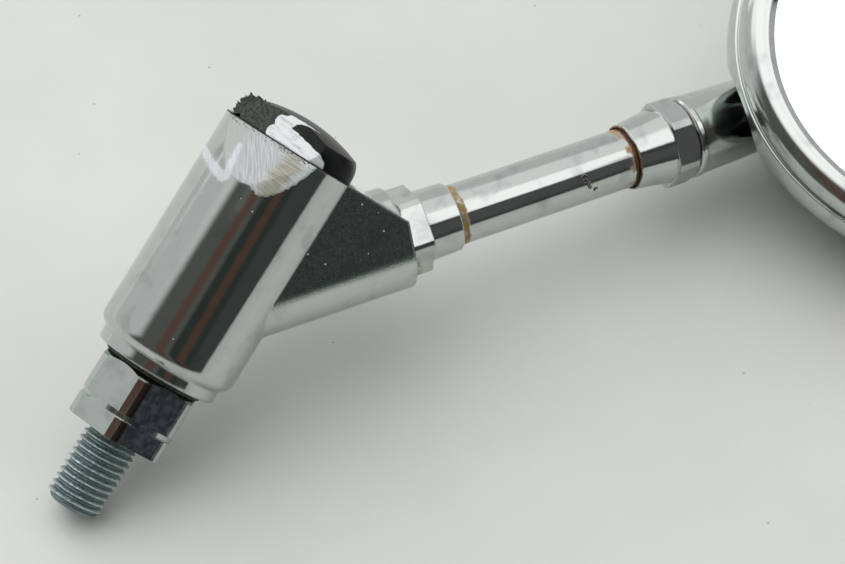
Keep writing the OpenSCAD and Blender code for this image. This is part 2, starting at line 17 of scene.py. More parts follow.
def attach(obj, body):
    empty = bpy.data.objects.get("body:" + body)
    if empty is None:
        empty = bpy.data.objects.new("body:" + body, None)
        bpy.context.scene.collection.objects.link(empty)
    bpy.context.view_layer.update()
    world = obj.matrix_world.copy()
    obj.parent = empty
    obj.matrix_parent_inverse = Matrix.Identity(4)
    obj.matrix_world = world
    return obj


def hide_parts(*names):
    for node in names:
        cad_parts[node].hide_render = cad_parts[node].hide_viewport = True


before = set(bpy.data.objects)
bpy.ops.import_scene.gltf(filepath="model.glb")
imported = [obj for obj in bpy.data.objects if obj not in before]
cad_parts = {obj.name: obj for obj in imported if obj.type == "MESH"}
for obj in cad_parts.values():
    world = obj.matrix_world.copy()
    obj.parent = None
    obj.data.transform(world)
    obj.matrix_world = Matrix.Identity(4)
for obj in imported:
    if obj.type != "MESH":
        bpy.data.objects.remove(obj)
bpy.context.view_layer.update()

# %% [markdown]
# ## Sizes
#
# The origin is the centre of the hex's seating face and +Z runs up the stud. The lengths below, in
# millimetres, are the ones from which the places of the arm, the ball and the head follow. They
# could be measured on the meshes instead, but written out they show how the mirror is put together:
# stud, housing, arm at 46.5 degrees, a slight bend, the neck, the ball, and the head on it.

# %% Sizes and the frames of the arm and the head
MM = 0.001
SEAM_Z = 55.9
BODY_R = 12.5
ARM_Z = 26.0
ARM_RISE = math.radians(46.5)
SLEEVE_MOUTH = 46.9
ARM_LENGTH = 34.4
ARM_BEND = math.radians(6.0)
BEND_TURN = math.radians(71.0)
BALL_AT = 39.0
OVAL_A, OVAL_B = 61.95, 45.05


def rot(axis, angle):
    return Matrix.Rotation(angle, 4, axis)


def move(x, y, z):
    return Matrix.Translation(Vector((x, y, z)))


BEND_R = ARM_LENGTH / ARM_BEND
LOWER_ARM = move(0, 0, ARM_Z) @ rot("Y", math.radians(90) - ARM_RISE)
UPPER_ARM = (
    LOWER_ARM
    @ move(0, 0, SLEEVE_MOUTH)
    @ rot("Z", BEND_TURN)
    @ move(BEND_R * (1 - math.cos(ARM_BEND)), 0, BEND_R * math.sin(ARM_BEND))
    @ rot("Y", ARM_BEND)
)
# On its ball the head swings and tilts, and its oval is turned and set off from the ball.
HEAD = (
    UPPER_ARM
    @ move(0, 0, BALL_AT)
    @ rot("Z", math.radians(-14.8))
    @ rot("Y", -math.radians(90 + 11.1))
    @ rot("Z", -math.radians(14.4))
    @ move(45.6, 0.6, 17.6)
)
print("head's middle, mm:", [round(c, 2) for c in HEAD.translation])

# %% [markdown]
# ## Camera
#
# A pinhole camera about half a metre away was fitted to points on the stud, the body and the arm.
# It looks at the glass side and is rolled, so the stud points to the lower left and the head leaves
# the picture at the upper right.

# %% Make the camera
CAM_AZ, CAM_EL, CAM_ROLL = math.radians(-29.04), math.radians(2.31), math.radians(31.93)
CAM_PLACE = Vector((-215.373, -449.901, 68.677))
FOCAL_PX, FRAME_W = 3000.0, 845.0
cam_back = Vector(
    (math.sin(CAM_AZ) * math.cos(CAM_EL), -math.cos(CAM_AZ) * math.cos(CAM_EL), math.sin(CAM_EL))
)
level_right = Vector((math.cos(CAM_AZ), math.sin(CAM_AZ), 0))
level_up = cam_back.cross(level_right)
cam_right = math.cos(CAM_ROLL) * level_right + math.sin(CAM_ROLL) * level_up
cam_up = -math.sin(CAM_ROLL) * level_right + math.cos(CAM_ROLL) * level_up
cam_data = bpy.data.cameras.new("lesson_camera")
cam_data.sensor_width = 36.0
cam_data.lens = FOCAL_PX / FRAME_W * cam_data.sensor_width
cam_data.clip_start, cam_data.clip_end = 0.01, 20
camera = bpy.data.objects.new("lesson_camera", cam_data)
bpy.context.collection.objects.link(camera)
turned = Matrix((cam_right, cam_up, cam_back)).transposed().to_4x4()
camera.matrix_world = Matrix.Translation(CAM_PLACE * MM) @ turned
bpy.context.scene.camera = camera
print("lens", round(cam_data.lens, 1), "mm")

# %% [markdown]
# ## Helpers for materials
#
# Colours are written as sRGB hex values and turned linear by one function. One small function adds
# a node with its settings and links. The other helpers are patterns rather than nodes: each builds
# a mask from 0 to 1 that several finishes share. All of them work in millimetres of the part.

# %% Colour, node and pattern helpers


def colour(code):
    """An sRGB hex value such as "c8c9ca" as linear RGBA."""
    parts = [int(code[i : i + 2], 16) / 255 for i in (0, 2, 4)]
    linear = [c / 12.92 if c <= 0.04045 else ((c + 0.055) / 1.055) ** 2.4 for c in parts]
    return (*linear, 1.0)


MATH, MIX, RAMP = "ShaderNodeMath", "ShaderNodeMix", "ShaderNodeMapRange"
NOISE, VECTOR, BUMP = "ShaderNodeTexNoise", "ShaderNodeVectorMath", "ShaderNodeBump"
BLEND = {"data_type": "RGBA", "out": 2}
SMOOTH = {"interpolation_type": "SMOOTHSTEP"}


def fill(tree, node, inputs):
    """Gives a node's sockets their values or links; a tuple fills the first sockets in order."""
    pairs = inputs.items() if isinstance(inputs, dict) else enumerate(inputs)
    for key, value in pairs:
        if isinstance(value, bpy.types.NodeSocket):
            tree.links.new(value, node.inputs[key])
        else:
            node.inputs[key].default_value = value


def add(tree, kind, inputs=(), operation=None, out=0, **settings):
    """Adds a node with its settings and its sockets' values or links; returns one output.

    The operation is for maths nodes. With out=None it returns the node itself.
    """
    node = tree.nodes.new(kind)
    if operation:
        node.operation = operation
    for key, value in settings.items():
        setattr(node, key, value)
    fill(tree, node, inputs)
    return node if out is None else node.outputs[out]


def dress(tree, shader, tone, metallic, rough, normal):
    """Sets the four sockets that every finish uses, each to a value or a link."""
    names = ("Base Color", "Metallic", "Roughness", "Normal")
    fill(tree, shader, dict(zip(names, (tone, metallic, rough, normal))))


def new_material(name):
    """A material, its tree, its Principled shader, and the place on the part in millimetres."""
    material = bpy.data.materials.new(name)
    material.use_nodes = True
    tree = material.node_tree
    shader = tree.nodes["Principled BSDF"]
    place = add(tree, "ShaderNodeTexCoord", out="Object")
    place_mm = add(tree, VECTOR, {0: place, "Scale": 1 / MM}, "SCALE")
    return material, tree, shader, place_mm


def clouds(tree, point, size, low, high, detail=3.0):
    """Soft cloudy mask: blobs of about that size, 0 below low and 1 above high of the noise."""
    noise = add(tree, NOISE, {"Vector": point, "Scale": 1 / size, "Detail": detail})
    return add(tree, RAMP, {"Value": noise, "From Min": low, "From Max": high}, **SMOOTH)


def specks(tree, point, spacing, radius, share):
    """Small round specks: one chance per cell of that spacing, and the share of cells with one."""
    cells = {"Vector": point, "Scale": 1 / spacing}
    cells = add(tree, "ShaderNodeTexVoronoi", cells, out=None).outputs
    lot = add(tree, "ShaderNodeSeparateColor", {0: cells["Color"]})
    wanted = add(tree, MATH, (lot, share), "LESS_THAN")
    size = add(tree, MATH, (lot, radius / spacing / share), "MULTIPLY")
    dot = add(tree, RAMP, {"Value": cells["Distance"], "From Min": size, "From Max": 0.0})
    return add(tree, MATH, (dot, wanted), "MULTIPLY")


def streak(tree, point, a, b, radius_a, radius_b, soft):
    """Mask of a smear from a to b with round ends, radius_a wide at a and radius_b wide at b."""
    a, b = Vector(a), Vector(b)
    along = b - a
    offset = add(tree, VECTOR, (point, a), "SUBTRACT")
    per_length = along / along.length_squared
    share = add(tree, VECTOR, (offset, per_length), "DOT_PRODUCT", out="Value")
    share = add(tree, "ShaderNodeClamp", {0: share})
    foot = add(tree, VECTOR, {0: along, "Scale": share}, "SCALE")
    gap = add(tree, VECTOR, (offset, foot), "DISTANCE", out="Value")
    edge = add(tree, RAMP, {"Value": share, "To Min": radius_a, "To Max": radius_b})
    inner = add(tree, MATH, (edge, soft), "SUBTRACT")
    return add(tree, RAMP, {"Value": gap, "From Min": edge, "From Max": inner}, **SMOOTH)


def distance_along(tree, point, origin, direction):
    """How far the point lies from the origin in that direction, in millimetres."""
    offset = add(tree, VECTOR, (point, origin), "SUBTRACT")
    return add(tree, VECTOR, (offset, direction), "DOT_PRODUCT", out="Value")


def window(tree, value, low, high, soft):
    """1 where the value lies between low and high, with soft edges outside them."""
    up = add(tree, RAMP, {"Value": value, "From Min": low - soft, "From Max": low}, **SMOOTH)
    down = add(tree, RAMP, {"Value": value, "From Min": high + soft, "From Max": high}, **SMOOTH)
    return add(tree, MATH, (up, down), "MULTIPLY")


print("helpers ready")

# %% [markdown]
# ## Chrome plate
#
# On the real mirror every outer metal surface is decorative chrome over nickel: a near-perfect
# mirror, so the eye reads the room in it and not a colour. What tells it from a computer's mirror
# is small: the casting under the plate is a little wavy, edges are rounded by polishing, old plate
# has hazy patches, and dust sits on it. A flat grey with low roughness would miss all four.
#
# The Bevel node rounds the light on sharp edges without touching the CAD meshes. The waviness is
# two noises, one of a few millimetres and one fine. The default IOR stays, since metal needs none.

# %% The part of the chrome that all chromed pieces share


def chrome_base(name, plate, haze, wave, edge):
    """Chrome: colours of plate and haze, height of the waves and radius of the edges, in mm."""
    material, tree, shader, point = new_material(name)
    old = clouds(tree, point, 4.0, 0.5, 0.8)
    tone = add(tree, MIX, {0: old, 6: colour(plate), 7: colour(haze)}, **BLEND)
    hazy = clouds(tree, point, 6.0, 0.45, 0.85, 5.0)
    rough = add(tree, RAMP, {"Value": hazy, "To Min": 0.045, "To Max": 0.13})
    waves = add(tree, NOISE, {"Vector": point, "Scale": 0.55, "Detail": 1.0})
    peel = add(tree, NOISE, {"Vector": point, "Scale": 3.0, "Detail": 2.0})
    rounded = add(tree, "ShaderNodeBevel", {"Radius": edge * MM}, samples=4)
    normal = add(tree, BUMP, {"Height": waves, "Distance": wave * MM, "Normal": rounded})
    normal = add(tree, BUMP, {"Height": peel, "Distance": 0.08 * wave * MM, "Normal": normal})
    return material, tree, shader, point, tone, rough, normal


print("chrome base ready")

# %% [markdown]
# ## The cast housing and its crash scrape
#
# The bike went down on this housing: a blunt corner is ground off, through cap and casting alike.
# The CAD model has the two ground planes as real facets. What they show is told here from the
# distance to each plane, so that the mask follows the metal. The left of it is brushed with whitish
# paint from whatever it slid along, in slanting strokes; the right is bare grey-yellow zinc alloy,
# scored nearly level; and a bright band of paint wraps round the body below it.
# The web's flat side is less polished than the rest: it looks dark and grainy, with white specks.

# %% Where the scrape is
# Each ground plane: the way it faces in degrees, its distance from the stud's axis, its tilt.
SCRAPES = ((222.0, 8.7, 24.0), (240.0, 11.0, 10.0))


def scrape_plane(turn_deg, distance, tilt_deg):
    """A point of the ground plane, its normal, its level direction and its direction upward."""
    turn, tilt = math.radians(turn_deg), math.radians(tilt_deg)
    x, y = math.cos(turn), math.sin(turn)
    normal = Vector((x * math.cos(tilt), y * math.cos(tilt), math.sin(tilt)))
    level = Vector((-y, x, 0))
    return Vector((distance * x, distance * y, SEAM_Z)), normal, level, normal.cross(level)


def on_scrape(tree, point):
    """The scrape's mask with a ragged edge, the place on it in mm, and its level part alone."""
    ragged = add(tree, NOISE, {"Vector": point, "Scale": 1.6, "Detail": 3.0})
    masks = []
    for scrape in SCRAPES:
        depth = distance_along(tree, point, *scrape_plane(*scrape)[:2])
        near = add(tree, MATH, (ragged, 0.25, depth), "MULTIPLY_ADD")
        masks.append(add(tree, RAMP, {"Value": near, "From Min": 0.03, "From Max": 0.07}))
    mask = add(tree, MATH, masks, "MAXIMUM")
    origin, _, level, upward = scrape_plane(*SCRAPES[0])
    u = distance_along(tree, point, origin, level)
    v = distance_along(tree, point, origin, upward)
    return mask, add(tree, "ShaderNodeCombineXYZ", (u, v)), u


def bent(tree, point, scale, reach, places):
    """Flat places pushed about by noise of that scale, so that a smear's edge is uneven."""
    wobble = add(tree, NOISE, {"Vector": point, "Scale": scale, "Detail": 3.0}, out=1)
    wobble = add(tree, VECTOR, (wobble, (0.5, 0.5, 0.5)), "SUBTRACT")
    push = (reach, reach, 0)
    return [
        add(tree, VECTOR, (wobble, push, place), "MULTIPLY_ADD")
        for place in places
    ]


print("scrape planes:", [[round(c, 2) for c in scrape_plane(*s)[1]] for s in SCRAPES])

# %% Chrome-plated zinc casting, for the housing
cast_chrome, tree, shader, point, tone, rough, normal = chrome_base(
    "chrome_plated_zinc_casting", "c3c8c5", "adb3af", 0.006, 0.6
)
scraped, flat, u = on_scrape(tree, point)
place_xyz = add(tree, "ShaderNodeSeparateXYZ", {0: point}, out=None).outputs
# Strokes: noise drawn long in one direction. On the left they slant, on the right they run level.
across = add(tree, VECTOR, (flat, (0.776, 0.63, 0)), "DOT_PRODUCT", out="Value")
along = add(tree, VECTOR, (flat, (0.63, -0.776, 0)), "DOT_PRODUCT", out="Value")
slanted = add(tree, "ShaderNodeCombineXYZ", (across, along))
slanted = add(tree, VECTOR, (slanted, (4.2, 0.25, 1)), "MULTIPLY")
level = add(tree, VECTOR, (flat, (0.2, 3.0, 1)), "MULTIPLY")
stroke_a = add(tree, NOISE, {"Vector": slanted, "Scale": 1.0, "Detail": 3.0})
stroke_b = add(tree, NOISE, {"Vector": level, "Scale": 1.0, "Detail": 3.0})
drift = add(tree, NOISE, {"Vector": flat, "Scale": 0.5, "Detail": 2.0})
u_bent = add(tree, MATH, (drift, 4.0, u), "MULTIPLY_ADD")
bare = add(tree, RAMP, {"Value": u_bent, "From Min": 4.8, "From Max": 6.4})
painted = add(tree, RAMP, {"Value": u_bent, "From Min": -2.2, "From Max": -1.2})
white_a = add(tree, RAMP, {"Value": stroke_a, "From Min": 0.36, "From Max": 0.62})
white_b = add(tree, RAMP, {"Value": stroke_b, "From Min": 0.36, "From Max": 0.62})
brushed = add(tree, MIX, {0: white_a, 6: colour("adb2b3"), 7: colour("cfd3d6")}, **BLEND)
alloy = add(tree, MIX, {0: white_b, 6: colour("8b8a7e"), 7: colour("b3b1a4")}, **BLEND)
far = add(tree, RAMP, {"Value": u_bent, "From Min": 8.2, "From Max": 9.6, "To Max": 0.75})
alloy = add(tree, MIX, {0: far, 6: alloy, 7: colour("c6d0d4")}, **BLEND)
ground = add(tree, MIX, {0: bare, 6: brushed, 7: alloy}, **BLEND)
# Left of the paint the ground metal is only dulled.
ground = add(tree, MIX, {0: painted, 6: colour("a4a8a4"), 7: ground}, **BLEND)
# The paint band wraps round the body below the scrape: the body unrolled to arc length and height.
minus_yx = [add(tree, MATH, (place_xyz[i], -1.0), "MULTIPLY") for i in (1, 0)]
angle = add(tree, MATH, minus_yx, "ARCTAN2")
arc = add(tree, MATH, (angle, BODY_R), "MULTIPLY")
unrolled = add(tree, "ShaderNodeCombineXYZ", (arc, place_xyz[2]))
unrolled, flat_bent = bent(tree, point, 0.9, 0.9, (unrolled, flat))
band_one = streak(tree, unrolled, (-4.2, 48.6, 0), (6.2, 46.4, 0), 1.0, 1.3, 0.7)
band_two = streak(tree, flat_bent, (-2.2, -9.9, 0), (-3.9, -4.2, 0), 1.1, 0.7, 0.7)
bands = add(tree, MATH, (band_one, band_two), "MAXIMUM")
streaky = add(tree, RAMP, {"Value": stroke_a, "To Min": 0.5, "To Max": 0.95})
bands = add(tree, MATH, (bands, streaky), "MULTIPLY")
# Chipped plate under the cap's seam, inside the scrape.
chips = window(tree, place_xyz[2], 55.1, 55.6, 0.4)
for mask in (clouds(tree, point, 0.38, 0.54, 0.62, 5.0), scraped):
    chips = add(tree, MATH, (chips, mask), "MULTIPLY")
ground = add(tree, MIX, {0: chips, 6: ground, 7: colour("5d5a4c")}, **BLEND)
# White specks of paint and dust, and the grain of the web's flats.
side_y = add(tree, MATH, {0: place_xyz[1]}, "ABSOLUTE")
on_flat = window(tree, side_y, 10.2, 10.5, 0.08)
beyond = add(tree, RAMP, {"Value": place_xyz[0], "From Min": 7.1, "From Max": 7.6})
on_flat = add(tree, MATH, (on_flat, beyond), "MULTIPLY")
few = specks(tree, point, 2.0, 0.22, 0.25)
more = specks(tree, point, 1.2, 0.22, 0.5)
more = add(tree, MATH, (more, on_flat), "MULTIPLY")
dots = add(tree, MATH, (few, more), "MAXIMUM")
dots = add(tree, RAMP, {"Value": dots, "From Min": 0.1, "From Max": 0.45})
mottle = add(tree, MATH, (clouds(tree, point, 0.3, 0.3, 0.7), on_flat), "MULTIPLY")
# Painted shadow: the joint under the cap is a gap in shade, painted black, no wider than a hair or
# two.
groove_shade = add(tree, MATH, (stroke_b, 0.25, place_xyz[2]), "MULTIPLY_ADD")
groove_shade = window(tree, groove_shade, 55.82, 56.3, 0.08)
under_cap = add(tree, VECTOR, (point, (1, 1, 0)), "MULTIPLY")
under_cap = add(tree, VECTOR, {0: under_cap}, "LENGTH", out="Value")
under_cap = add(tree, MATH, (under_cap, BODY_R + 0.2), "LESS_THAN")
groove_shade = add(tree, MATH, (groove_shade, under_cap), "MULTIPLY")
for mask, over in (
    (mottle, colour("8c9993")),
    (scraped, ground),
    (bands, colour("e6e9f0")),
    (dots, colour("f0f0ee")),
    (groove_shade, colour("0e0f0f")),
):
    tone = add(tree, MIX, {0: mask, 6: tone, 7: over}, **BLEND)
bare_share = add(tree, RAMP, {"Value": bare, "To Min": 0.85, "To Max": 0.6})
dull = add(tree, MATH, (painted, bare_share), "MULTIPLY")
dull = add(tree, MATH, (dull, scraped), "MULTIPLY")
for mask in (bands, dots, groove_shade):
    dull = add(tree, MATH, (dull, mask), "MAXIMUM")
metal = add(tree, MATH, (1.0, dull), "SUBTRACT")
rough = add(tree, MIX, {0: on_flat, 2: rough, 3: 0.15})
rough = add(tree, MIX, {0: scraped, 2: rough, 3: 0.34})
rough = add(tree, MATH, (dull, 0.3, rough), "MULTIPLY_ADD")
grain = add(tree, NOISE, {"Vector": point, "Scale": 6.0, "Detail": 2.0})
grain = add(tree, MATH, (grain, on_flat), "MULTIPLY")
normal = add(tree, BUMP, {"Height": grain, "Distance": 0.01 * MM, "Normal": normal})
strokes = add(tree, MIX, {0: bare, 2: stroke_a, 3: stroke_b})
strokes = add(tree, MATH, (strokes, scraped), "MULTIPLY")
normal = add(tree, BUMP, {"Height": strokes, "Distance": 0.05 * MM, "Normal": normal})
dress(tree, shader, tone, metal, rough, normal)
print(cast_chrome.name, "nodes:", len(tree.nodes))

# %% [markdown]
# ## The black cap
#
# A moulded plastic plug, satin black. The crash ground its side flat, which turned it grey and
# fibrous, and a thick smear of white paint went across the facet and round onto the dome. The smear
# is three streaks in the facet's own coordinates, their edge bent by noise; its surface is drawn
# out in strokes too, and the valleys of the strokes are painted a cool blue-grey as painted shade.

# %% Black moulded plastic, for the cap
black_plastic, tree, shader, point = new_material("black_moulded_plastic")
scraped, flat, u = on_scrape(tree, point)
(flat_bent,) = bent(tree, point, 0.7, 0.8, (flat,))
smear = streak(tree, flat_bent, (0.1, 1.25, 0), (8.1, 0.9, 0), 2.3, 1.15, 0.12)
for ends in (
    ((-0.8, 3.4, 0), (0.4, 4.1, 0), 1.4, 1.0),
    ((0.0, 4.6, 0), (4.7, 5.9, 0), 0.8, 0.1),
):
    part = streak(tree, flat_bent, *ends, 0.12)
    smear = add(tree, MATH, (smear, part), "MAXIMUM")
dragged = add(tree, VECTOR, (flat, (0.35, 1.8, 1)), "MULTIPLY")
drawn = add(tree, NOISE, {"Vector": dragged, "Scale": 0.8, "Detail": 4.0})
# Painted shade: the valleys of the strokes, where the noise is low, turn blue-grey.
cool = add(tree, RAMP, {"Value": drawn, "From Min": 0.34, "From Max": 0.5})
paint = add(tree, MIX, {0: cool, 6: colour("c3ced6"), 7: colour("f0f3f3")}, **BLEND)
worn = clouds(tree, point, 0.45, 0.3, 0.75, 5.0)
scuffed = add(tree, MIX, {0: worn, 6: colour("3a3d38"), 7: colour("5c5f56")}, **BLEND)
left = {"Value": u, "From Min": 4.0, "From Max": -3.0, "To Min": 0.15, "To Max": 0.9}
left = add(tree, RAMP, left)
left = add(tree, MATH, (left, scraped), "MULTIPLY")
faded = clouds(tree, point, 2.5, 0.4, 0.8)
tone = add(tree, MIX, {0: faded, 6: colour("0f1112"), 7: colour("1a1d1d")}, **BLEND)
for mask, over in ((left, scuffed), (smear, paint)):
    tone = add(tree, MIX, {0: mask, 6: tone, 7: over}, **BLEND)
rough = add(tree, MIX, {0: scraped, 2: 0.3, 3: 0.6})
rough = add(tree, MIX, {0: smear, 2: rough, 3: 0.42})
texture = add(tree, NOISE, {"Vector": point, "Scale": 5.0, "Detail": 3.0})
rounded = add(tree, "ShaderNodeBevel", {"Radius": 0.4 * MM}, samples=4)
normal = add(tree, BUMP, {"Height": texture, "Distance": 0.02 * MM, "Normal": rounded})
thick = add(tree, MATH, (drawn, smear, smear), "MULTIPLY_ADD")
normal = add(tree, BUMP, {"Height": thick, "Distance": 0.05 * MM, "Normal": normal})
dress(tree, shader, tone, 0.0, rough, normal)
fill(tree, shader, {"Specular IOR Level": 0.12})
print(black_plastic.name, "nodes:", len(tree.nodes))

# %% [markdown]
# ## Turned and plated steel
#
# Arm, nuts and neck are steel turned on a lathe, polished and chromed. Chrome is porous, so rust
# starts where water stays: at the two mouths where the arm enters a sleeve. At the lower one it
# has run out as an amber ring, at the upper one it is dark brown with an orange stain beside it,
# and a few pits have broken through on the arm's flank. The rings follow the distance along the
# arm, bent by noise, so each is uneven as a stain is and stays where it belongs on the part.

# %% Chrome-plated steel, for arm, nuts and neck
turned_chrome, tree, shader, point, tone, rough, normal = chrome_base(
    "chrome_plated_steel", "c4c9c6", "aab0ae", 0.003, 0.3
)
lower_s, upper_s = (
    distance_along(tree, point, arm.translation, (arm.to_3x3() @ Vector((0, 0, 1))).normalized())
    for arm in (LOWER_ARM, UPPER_ARM)
)
uneven = add(tree, NOISE, {"Vector": point, "Scale": 0.45, "Detail": 4.0})
fine = add(tree, NOISE, {"Vector": point, "Scale": 2.2, "Detail": 4.0})
lower_bent = add(tree, MATH, (uneven, 1.3, lower_s), "MULTIPLY_ADD")
amber_ring = window(tree, lower_bent, 47.75, 48.6, 0.4)
patches = clouds(tree, point, 1.4, 0.22, 0.55)
amber_ring = add(tree, MATH, (amber_ring, patches), "MULTIPLY")
upper_bent = add(tree, MATH, (uneven, 0.7, upper_s), "MULTIPLY_ADD")
brown_ring = window(tree, upper_bent, -0.25, 0.42, 0.2)
stain_zone = window(tree, upper_bent, -1.3, 0.3, 0.5)
stain_spots = clouds(tree, point, 3.0, 0.42, 0.62)
stain = add(tree, MATH, (stain_zone, stain_spots), "MULTIPLY")
amber = add(tree, MIX, {0: fine, 6: colour("6a4e18"), 7: colour("b99a52")}, **BLEND)
brown = add(tree, MIX, {0: fine, 6: colour("1c120a"), 7: colour("6a4420")}, **BLEND)
# Three rust pits on the arm's flank, and an olive film in the corner under the lower nut.
crater = clouds(tree, point, 0.5, 0.42, 0.5)
pitted = None
PITS = (((48.3, -4.4, 77.8), 0.8), ((49.9, -4.4, 77.3), 0.75), ((51.5, -4.0, 77.2), 0.6))
for spot, reach in PITS:
    end = Vector(spot) + Vector((0.3, 0, -0.3))
    near = streak(tree, point, spot, end, reach, reach * 0.7, reach)
    pitted = near if pitted is None else add(tree, MATH, (pitted, near), "ADD")
pitted = add(tree, MATH, (pitted, crater), "MULTIPLY")
pitted = add(tree, RAMP, {"Value": pitted, "From Min": 0.05, "From Max": 0.16})
film = streak(tree, point, (27.5, -6.6, 50.0), (30.5, -4.6, 48.8), 1.9, 1.5, 1.4)
for share in (clouds(tree, point, 1.6, 0.35, 0.6), 0.75):
    film = add(tree, MATH, (film, share), "MULTIPLY")
dots = specks(tree, point, 2.0, 0.16, 0.2)
dots = add(tree, RAMP, {"Value": dots, "From Min": 0.1, "From Max": 0.45})
for mask, over in (
    (stain, colour("a8854a")),
    (amber_ring, amber),
    (brown_ring, brown),
    (pitted, colour("3a2a22")),
    (film, colour("8f875c")),
    (dots, colour("d8d8d2")),
):
    tone = add(tree, MIX, {0: mask, 6: tone, 7: over}, **BLEND)
dull = dots
for mask in (amber_ring, brown_ring, stain, pitted, film):
    dull = add(tree, MATH, (dull, mask), "MAXIMUM")
metal = add(tree, MATH, (1.0, dull), "SUBTRACT")
neck_zone = window(tree, upper_s, 14.0, 27.0, 2.0)
for mask, more in ((neck_zone, 0.1), (dull, 0.35)):
    rough = add(tree, MATH, (mask, more, rough), "MULTIPLY_ADD")
crust = add(tree, MATH, (fine, dull), "MULTIPLY")
normal = add(tree, BUMP, {"Height": crust, "Distance": 0.08 * MM, "Normal": normal})
dress(tree, shader, tone, metal, rough, normal)
print(turned_chrome.name, "nodes:", len(tree.nodes))

# %% [markdown]
# ## The stud: chromed hex, zinc-plated thread
#
# The spanner has been on this hex often. One face keeps its mirror, the next is dull and mottled
# blue-grey, with shallow scuffs. The thread below is not chromed but zinc-plated with a clear blue
# passivate, which greys a little; its teal is painted darker toward the thread's roots, as painted
# shade.

# %% Chromed hex and zinc-plated thread
WORN_FACE = math.radians(271)
hex_chrome, tree, shader, point, tone, rough, normal = chrome_base(
    "chrome_plated_hex", "bdc5c1", "a9b1ad", 0.0005, 0.12
)
worn_side = Vector((math.cos(WORN_FACE), math.sin(WORN_FACE), 0))
worn_face = distance_along(tree, point, (0, 0, 0), worn_side)
worn_face = window(tree, worn_face, 8.3, 8.6, 0.15)
blotches = clouds(tree, point, 0.9, 0.35, 0.7, 5.0)
mottled = add(tree, MIX, {0: blotches, 6: colour("4b5157"), 7: colour("6d737a")}, **BLEND)
scuffs = add(tree, VECTOR, (point, (2.5, 2.5, 0.35)), "MULTIPLY")
scuffs = add(tree, NOISE, {"Vector": scuffs, "Scale": 1.0, "Detail": 4.0})
# Painted reflection: the narrow band of that face next to the clean one is painted the room's brown.
from_corner = add(tree, "ShaderNodeSeparateXYZ", {0: point})
from_corner = add(tree, RAMP, {"Value": from_corner, "From Min": -3.3, "From Max": -2.9})
tone_with_painted_reflection = add(tree, MIX, {0: worn_face, 6: tone, 7: colour("6b5651")}, **BLEND)
worn_face = add(tree, MATH, (worn_face, from_corner), "MULTIPLY")
tone = add(tree, MIX, {0: worn_face, 6: tone_with_painted_reflection, 7: mottled}, **BLEND)
rough = add(tree, MIX, {0: worn_face, 2: rough, 3: 0.42})
blur = add(tree, RAMP, {"Value": scuffs, "From Min": 0.55, "From Max": 0.7, "To Max": 0.2})
rough = add(tree, MATH, (rough, blur), "ADD")
rub = add(tree, MATH, (scuffs, worn_face), "MULTIPLY")
normal = add(tree, BUMP, {"Height": rub, "Distance": 0.05 * MM, "Normal": normal})
dress(tree, shader, tone, 1.0, rough, normal)
print(hex_chrome.name, "nodes:", len(tree.nodes))

zinc, tree, shader, point = new_material("blue_passivated_zinc")
xyz = add(tree, "ShaderNodeSeparateXYZ", {0: point}, out=None).outputs
radius = add(tree, "ShaderNodeCombineXYZ", (xyz[0], xyz[1]))
radius = add(tree, VECTOR, {0: radius}, "LENGTH", out="Value")
# Painted shade: toward the thread's roots the teal is painted darker.
groove_shade = add(tree, RAMP, {"Value": radius, "From Min": 4.9, "From Max": 4.3})
patchy = clouds(tree, point, 0.7, 0.3, 0.75, 5.0)
bright = add(tree, MIX, {0: patchy, 6: colour("b9c6c6"), 7: colour("e8eeee")}, **BLEND)
tone = add(tree, MIX, {0: groove_shade, 6: bright, 7: colour("7d9092")}, **BLEND)
rough = add(tree, RAMP, {"Value": patchy, "To Min": 0.3, "To Max": 0.48})
dents = add(tree, NOISE, {"Vector": point, "Scale": 2.6, "Detail": 4.0})
normal = add(tree, BUMP, {"Height": dents, "Distance": 0.3 * MM})
dress(tree, shader, tone, 1.0, rough, normal)
print(zinc.name, "nodes:", len(tree.nodes))

# %% [markdown]
# ## Glass, washer and the parts inside
#
# The mirror glass is silvered on its back: a metal-bright base under a clear coat with the glass's
# own IOR gives both reflections. The washer is dark olive fibre, matt, and squeezed a little shiny
# at its rim. Inside are oiled spring steel, sintered bronze, nylon and foam. None of them shows in
# the picture, but each gets its own finish, since someone may open the mirror up.

# %% Silvered glass
silvered, tree, shader, point = new_material("silvered_glass")
wiped = add(tree, VECTOR, (point, (0.05, 0.05, 0.4)), "MULTIPLY")
wiped = clouds(tree, wiped, 1.0, 0.45, 0.7)
rough = add(tree, RAMP, {"Value": wiped, "To Min": 0.01, "To Max": 0.04})
ripple = add(tree, NOISE, {"Vector": point, "Scale": 0.05, "Detail": 1.0})
normal = add(tree, BUMP, {"Height": ripple, "Distance": 0.01 * MM})
dress(tree, shader, colour("e8ecec"), 1.0, rough, normal)
fill(tree, shader, {"Coat Weight": 1.0, "Coat IOR": 1.52, "Coat Roughness": 0.01})
print(silvered.name, "nodes:", len(tree.nodes))

# %% Plain finishes


def plain(name, dark, light, size, rough_low, rough_high, bump, metallic):
    """A finish between two colours: size of its blotches and height of its bumps in mm."""
    material, tree, shader, point = new_material(name)
    blotch = clouds(tree, point, size, 0.3, 0.75, 5.0)
    tone = add(tree, MIX, {0: blotch, 6: colour(dark), 7: colour(light)}, **BLEND)
    rough = add(tree, RAMP, {"Value": blotch, "To Min": rough_high, "To Max": rough_low})
    grain = add(tree, NOISE, {"Vector": point, "Scale": 4 / size, "Detail": 3.0})
    normal = add(tree, BUMP, {"Height": grain, "Distance": bump * MM})
    dress(tree, shader, tone, metallic, rough, normal)
    return material


